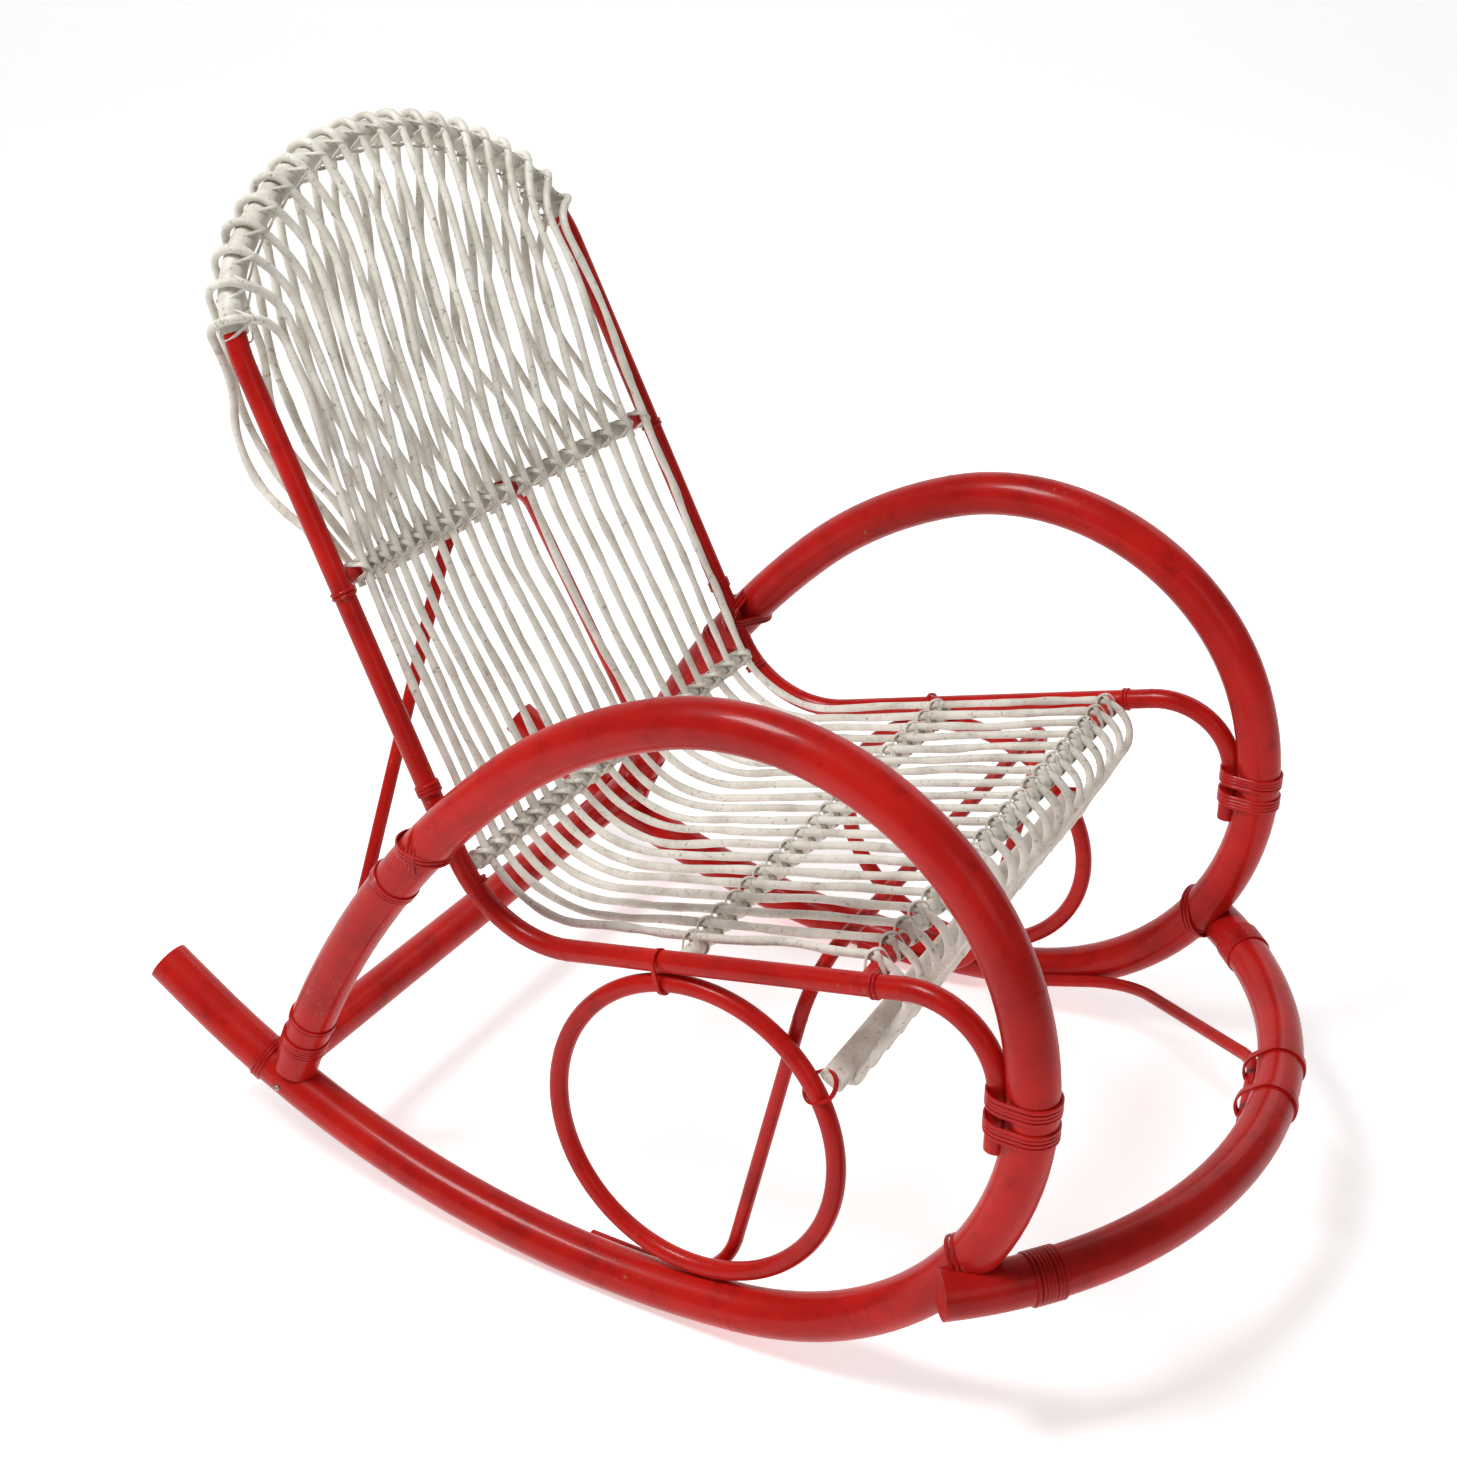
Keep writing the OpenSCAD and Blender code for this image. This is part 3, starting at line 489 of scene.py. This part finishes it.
def bar_laces(at, out, end, run, both_sides=False):
    along = LEFT.cross(out)
    ellipses = [(0, BAR_D / 2, False), (OVER_BAR, STRAND_D / 2, True)]
    if both_sides:
        ellipses.append((-OVER_BAR, STRAND_D / 2, True))
    loops = []
    for i in range(STRANDS):
        centre = Vector((at.x, across(end, strand_u(i), run), at.z))
        loops += crossed(centre, out, along, ellipses, LACE_TILT, LACE_T)
    return loops


lumbar_run = CROOK_REACH - math.radians(8) * CROOK_RADIUS
bar_rows = [
    ("back_bar", on_back(0, BACK_BAR_S, 0), OUT, "back", BACK_BAR_S, True),
    ("lumbar_bar", CROOK_CENTRE - CROOK_RADIUS * LUMBAR_OUT, LUMBAR_OUT, "back", lumbar_run, False),
    ("mid_seat_bar", CROOK + MID_RUN * SEAT_ALONG, SEAT_UP, "seat", MID_RUN, False),
    ("front_seat_bar", FRONT_BAR, SEAT_UP, "seat", FRONT_RUN, False),
]
for bar, at, out, end, run, both_sides in bar_rows:
    flat_loops(
        "crossed_" + bar, bar_laces(at, out, end, run, both_sides), LACE_W, LACE_T, "white_cane", bar + "_lacing"
    )


def arch_lacing():
    """Fine cane crossed over each strand just inside the arch, where its two layers leave the sleeve."""
    loops = []
    for i in range(STRANDS):
        run = strand_u(i) * ARCH_RUN
        oy, os = arch_out(run)
        y, s = arch_place(run)
        outward = oy * LEFT + os * UP
        centre = on_back(y, s, 0)
        ellipses = [(0, FRAME_D / 2 + WRAP_T, False), (WRAP_R, STRAND_D / 2, True), (-WRAP_R, STRAND_D / 2, True)]
        loops += crossed(centre - 3 * outward, OUT, outward, ellipses, math.radians(50), LACE_T)
    return flat_loops("arch_lacing", loops, 2.6, 1.0, "white_cane", None)


arch_lacing()


# ---- Wound cane on the thick joints ----


def turned(h):
    return Vector((-math.sin(h), 0, math.cos(h)))


def loop_heading(n):
    return math.radians(sum(turn for _, turn in LOOP[:n]) - TAIL_SLOPE)


def loop_place(n):
    slope = math.radians(TAIL_SLOPE)
    p = Vector((TAIL_LENGTH * math.cos(slope), 0, TAIL_RISE - TAIL_LENGTH * math.sin(slope)))
    for k in range(n):
        p += LOOP[k][0] * (turned(loop_heading(k)) - turned(loop_heading(k + 1)))
    return p


def loop_centre(n):
    return loop_place(n) + LOOP[n][0] * turned(loop_heading(n))


def along_loop(n, turn, side):
    p = loop_centre(n) - LOOP[n][0] * turned(loop_heading(n) + math.radians(turn))
    return Vector((p.x, side * loop_y(p.z), p.z))


def loop_way(n, turn):
    h = loop_heading(n) + math.radians(turn)
    return Vector((math.cos(h), 0, math.sin(h)))


TURN_W, TURN_T = 3.3, 1.7


def turns(middle, wide_way, high_way, ellipses, count, spread=1.0):
    """Turns of cane side by side round the ellipses, each a little out of true."""
    axis = wide_way.cross(high_way).normalized()
    loops = []
    for k in range(count):
        off = (k - (count - 1) / 2) * TURN_W * spread
        lean = 0.05 * noise.noise(middle * 0.07 + Vector((k * 3.1, 0, 0)))
        wide = (wide_way.normalized() + lean * axis).normalized()
        points = [middle + off * axis + x * wide + y * high_way.normalized() for x, y in outline_round(ellipses)]
        loops.append((points, wide.cross(high_way)))
    return loops


def coil(p, axis, radius, count):
    wide = axis.orthogonal().normalized()
    return turns(p, wide, axis.cross(wide).normalized(), [(0, radius, radius)], count)


def rear_joint(side):
    """Turns round the foot of the rear leg, a band higher up, and a band on the runner behind the foot."""
    foot = loop_place(5)
    centre = loop_centre(0)
    turn = math.degrees(math.atan2(foot.x - centre.x, centre.z - foot.z)) + TAIL_SLOPE
    end = LOOP[4][1]
    loops = coil(along_loop(4, end - 4.1, side), loop_way(4, end - 4.1), POLE_D / 2, 2)
    loops += coil(along_loop(4, end - 2.3, side), loop_way(4, end - 2.3), POLE_D / 2, 5)
    return loops + coil(along_loop(0, turn - 1.9, side), loop_way(0, turn - 1.9), POLE_D / 2, 3)


def bow_joint(side):
    """Slanting turns round the loop where the bow meets it, and a coil on the bow beside them."""
    drop = math.radians(31)
    centre = loop_centre(1)
    touch = centre + (LOOP[1][0] + POLE_D - 10) * Vector((math.cos(drop), 0, -math.sin(drop)))
    half = loop_y(touch.z)
    mid_x = touch.x - math.sqrt(405 * 405 - half * half)
    bow_angle = math.asin(half / 405)
    turn = 90 - 31 - math.degrees(loop_heading(1))
    loop_dir = loop_way(1, turn)
    beside = Vector((0.873, -0.488 * side, 0))
    beside = (beside - beside.dot(loop_dir) * loop_dir).normalized()
    slant = math.radians(36)
    wide = math.cos(slant) * beside - math.sin(slant) * loop_dir
    middle = along_loop(1, turn - 1, side)
    loops = turns(middle, wide, loop_dir.cross(beside), [(0, POLE_D / 2 / math.cos(slant), POLE_D / 2)], 3, 1.3)
    a = bow_angle - math.radians(5.3)
    at = Vector((mid_x + 405 * math.cos(a), side * 405 * math.sin(a), touch.z))
    return loops + coil(at, Vector((-math.sin(a), side * math.cos(a), 0)), POLE_D / 2, 8)


def rail_joint(side):
    """Two bands round the front bend and the rail's hanging end."""
    outer = loop_centre(1).x + LOOP[1][0] + POLE_D / 2
    inner = CROOK.x + SEAT_DEPTH - FRAME_D / 2
    loops = []
    for z in (302, 280):
        ends = [(-(outer - inner - POLE_D) / 2, POLE_D / 2, POLE_D / 2), ((outer - inner - POLE_D) / 2, POLE_D / 2, POLE_D / 2)]
        middle = Vector(((outer + inner) / 2, side * loop_y(z), z))
        loops += turns(middle, LEFT, Vector((1, 0, 0)), ends, 4)
    return loops


def arm_joint(side):
    """Crossed turns where a post of the back passes the arm, and a coil on each pole beside them."""
    gap = CROOK - loop_centre(4)
    half = gap.dot(UP)
    cross_s = math.sqrt(half * half - gap.dot(gap) + LOOP[4][0] ** 2) - half
    at = gap + cross_s * UP
    turn = math.degrees(math.atan2(at.z, at.x)) + 90 - math.degrees(loop_heading(4))
    post = on_back(side * post_half(cross_s), cross_s, 0)
    arm = along_loop(4, turn, side)
    way = loop_way(4, turn)
    out = (arm - post).normalized()
    gap = (arm - post).length
    loops = []
    for k in (-1, 1):
        diagonal = (UP + k * way).normalized()
        on_post = FRAME_D / 2 / max(0.5, math.sin(diagonal.angle(UP)))
        on_arm = POLE_D / 2 / max(0.5, math.sin(diagonal.angle(way)))
        ends = [(0, min(on_post, 16), FRAME_D / 2), (gap, min(on_arm, 26), POLE_D / 2)]
        loops += turns(post, diagonal, out, ends, 3, 1.1)
    loops += coil(on_back(side * post_half(cross_s + 40), cross_s + 40, 0), UP, FRAME_D / 2, 3)
    return loops + coil(along_loop(4, turn + 3.3, side), loop_way(4, turn + 3.3), POLE_D / 2, 3)


for joint, build in (("rear", rear_joint), ("bow", bow_joint), ("rail", rail_joint), ("arm", arm_joint)):
    for name, side in (("right", -1), ("left", 1)):
        flat_loops(
            "wound_%s_%s" % (joint, name), build(side), TURN_W, TURN_T, "red_cane", "%s_lashing_%s" % (joint, name)
        )


# ---- Floor, light and camera ----


def stage_set():
    floor = bpy.data.meshes.new("floor")
    size, back, top, bend = 9.0, 5.0, 5.0, 1.6
    profile = [(-size, 0.0)] + [
        (back - bend + bend * math.sin(a), bend - bend * math.cos(a)) for a in (math.radians(6 * k) for k in range(16))
    ] + [(back, top)]
    verts = [(x, y, z) for y, z in profile for x in (-size, size)]
    faces = [(2 * k, 2 * k + 1, 2 * k + 3, 2 * k + 2) for k in range(len(profile) - 1)]
    floor.from_pydata(verts, [], faces)
    for face in floor.polygons:
        face.use_smooth = True
    piece = bpy.data.objects.new("floor", floor)
    bpy.context.scene.collection.objects.link(piece)
    k = Look("floor_paint")
    shade = k.mix(k.noise(0.8, 2), (0.93, 0.93, 0.93, 1), (0.96, 0.96, 0.96, 1))
    floor.materials.append(
        k.finish(shade, 0.9, k.bump(k.noise(40), 0.02, 0.001), Emission_Color=(1, 1, 1, 1), Emission_Strength=0.5)
    )
    piece.rotation_euler = (0, 0, math.radians(29))


stage_set()


def area_light(name, at, aim, size, power):
    data = bpy.data.lights.new(name, "AREA")
    data.shape = "RECTANGLE"
    data.size, data.size_y = size
    data.energy = power
    lamp = bpy.data.objects.new(name, data)
    bpy.context.scene.collection.objects.link(lamp)
    lamp.location = at
    lamp.rotation_euler = (Vector(aim) - Vector(at)).to_track_quat("-Z", "Y").to_euler()


area_light("key", (-0.9, -1.3, 3.0), (0, 0, 0.4), (0.9, 0.9), 74)
area_light("fill", (3.0, -1.8, 2.2), (0, 0, 0.4), (1.6, 1.6), 9)
area_light("rim", (0.6, 2.6, 2.6), (0, 0, 0.5), (2.2, 1.2), 14)

world = bpy.data.worlds.new("studio")
bpy.context.scene.world = world
world.use_nodes = True
world.node_tree.nodes["Background"].inputs["Color"].default_value = (1, 1, 1, 1)
seen = world.node_tree.nodes.new("ShaderNodeLightPath").outputs["Is Camera Ray"]
strength = world.node_tree.nodes.new("ShaderNodeMapRange")
strength.inputs["To Min"].default_value = 0.17
strength.inputs["To Max"].default_value = 1.0
world.node_tree.links.new(seen, strength.inputs["Value"])
world.node_tree.links.new(strength.outputs["Result"], world.node_tree.nodes["Background"].inputs["Strength"])
bpy.context.scene.view_settings.view_transform = "Standard"


def camera():
    """The viewing angle was measured before the chair was turned to its rest pitch, so it turns with it."""
    azimuth, elevation = math.radians(29.2), math.radians(27.2)
    forward = Vector((
        -math.cos(elevation) * math.sin(azimuth),
        math.cos(elevation) * math.cos(azimuth),
        -math.sin(elevation),
    ))
    data = bpy.data.cameras.new("camera")
    data.sensor_width = 36
    data.lens = 51.3
    data.clip_end = 60
    eye = bpy.data.objects.new("camera", data)
    bpy.context.scene.collection.objects.link(eye)
    turn = Matrix.Rotation(REST_PITCH, 4, "Y")
    aim = forward.to_track_quat("-Z", "Y").to_matrix().to_4x4()
    eye.matrix_world = Matrix.Translation(placed(Vector((1241.1, -1442.5, 1226.0)))) @ turn @ aim
    bpy.context.scene.camera = eye


camera()
